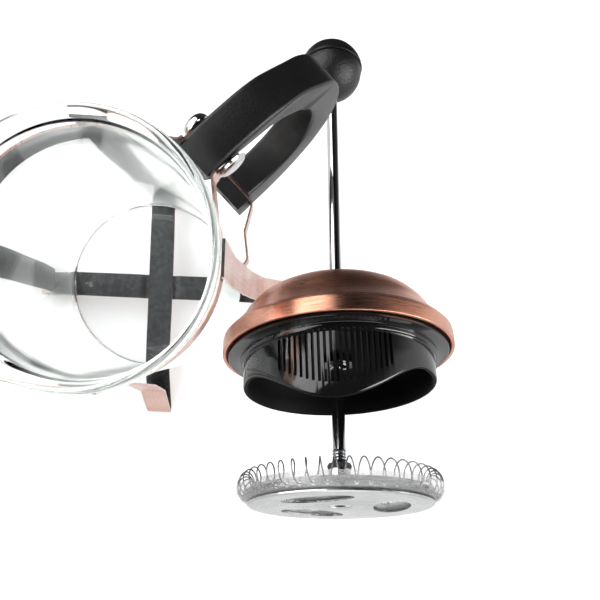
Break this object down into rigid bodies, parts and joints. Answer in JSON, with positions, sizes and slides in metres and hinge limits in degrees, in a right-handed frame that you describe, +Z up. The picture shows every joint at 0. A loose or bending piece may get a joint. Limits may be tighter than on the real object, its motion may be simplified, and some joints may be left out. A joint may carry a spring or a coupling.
{
  "type": "cafetiere",
  "caption": "Cafetiere with a glass beaker in a copper-finished strap frame, a black handle, and its domed lid, plunger rod, ball knob and wire-mesh filter held beside it.",
  "frame": {"origin": "middle of the whole layout's box in X and Y, at floor height under the four feet", "axes": "+Z up along the beaker's axis, +X and +Y along the two crossed straps, with the handle between them"},
  "size_m": [0.2338, 0.2594, 0.1898],
  "materials": {
    "glass": "clear borosilicate glass, fire-polished rim",
    "copper": "copper-plated steel, finely brushed",
    "steel": "polished stainless steel",
    "chrome": "bright chrome",
    "gauze": "woven stainless wire gauze",
    "black_plastic": "finely textured black plastic",
    "gloss_black": "glossy black moulding",
    "seal": "black rubber"
  },
  "bodies": {
    "frame": {"strap_fore_aft": "copper", "strap_left_right": "copper", "collar": "copper", "lower_band": "copper", "handle": "black_plastic", "clamp_block": "black_plastic", "clamp_bolt": "chrome", "clamp_nut": "chrome", "block_screw": "chrome"},
    "beaker": {"beaker": "glass"},
    "lid_bush": {"lid_bush": "steel", "lid_nut": "steel"},
    "lid": {"lid_cover": "copper", "lid_insert": "gloss_black"},
    "plunger": {"plunger_rod": "steel"},
    "filter": {"cross_plate": "steel", "mesh_screen": "gauze", "spring_plate": "steel", "coil_spring": "steel", "filter_hub": "steel", "hub_seal": "seal"},
    "knob": {"knob_base": "black_plastic", "knob_cap": "black_plastic"}
  },
  "joints": [
    {"name": "beaker_lift", "type": "slide", "parent": "frame", "child": "beaker", "axis": [0, 0, 1], "range_m": [0, 0.18]},
    {"name": "lid_lift", "type": "slide", "parent": "frame", "child": "lid_bush", "axis": [0.6, 0, 0.8], "range_m": [0, 0.12]},
    {"name": "lid_turn", "type": "hinge", "parent": "lid_bush", "child": "lid", "pos_m": [0.06159, -0.03419, 0.10181], "axis": [-0.0501, 0.9258, -0.3746], "continuous": true},
    {"name": "plunger_press", "type": "slide", "parent": "lid_bush", "child": "plunger", "axis": [0.0243, -0.9269, 0.3746], "range_m": [-0.0215, 0.118]},
    {"name": "filter_unscrew", "type": "hinge", "parent": "plunger", "child": "filter", "pos_m": [0.06198, -0.04902, 0.1078], "axis": [-0.0243, 0.9269, -0.3746], "continuous": true},
    {"name": "knob_unscrew", "type": "hinge", "parent": "plunger", "child": "knob", "pos_m": [0.06198, -0.04902, 0.1078], "axis": [-0.0243, 0.9269, -0.3746], "continuous": true}
  ]
}
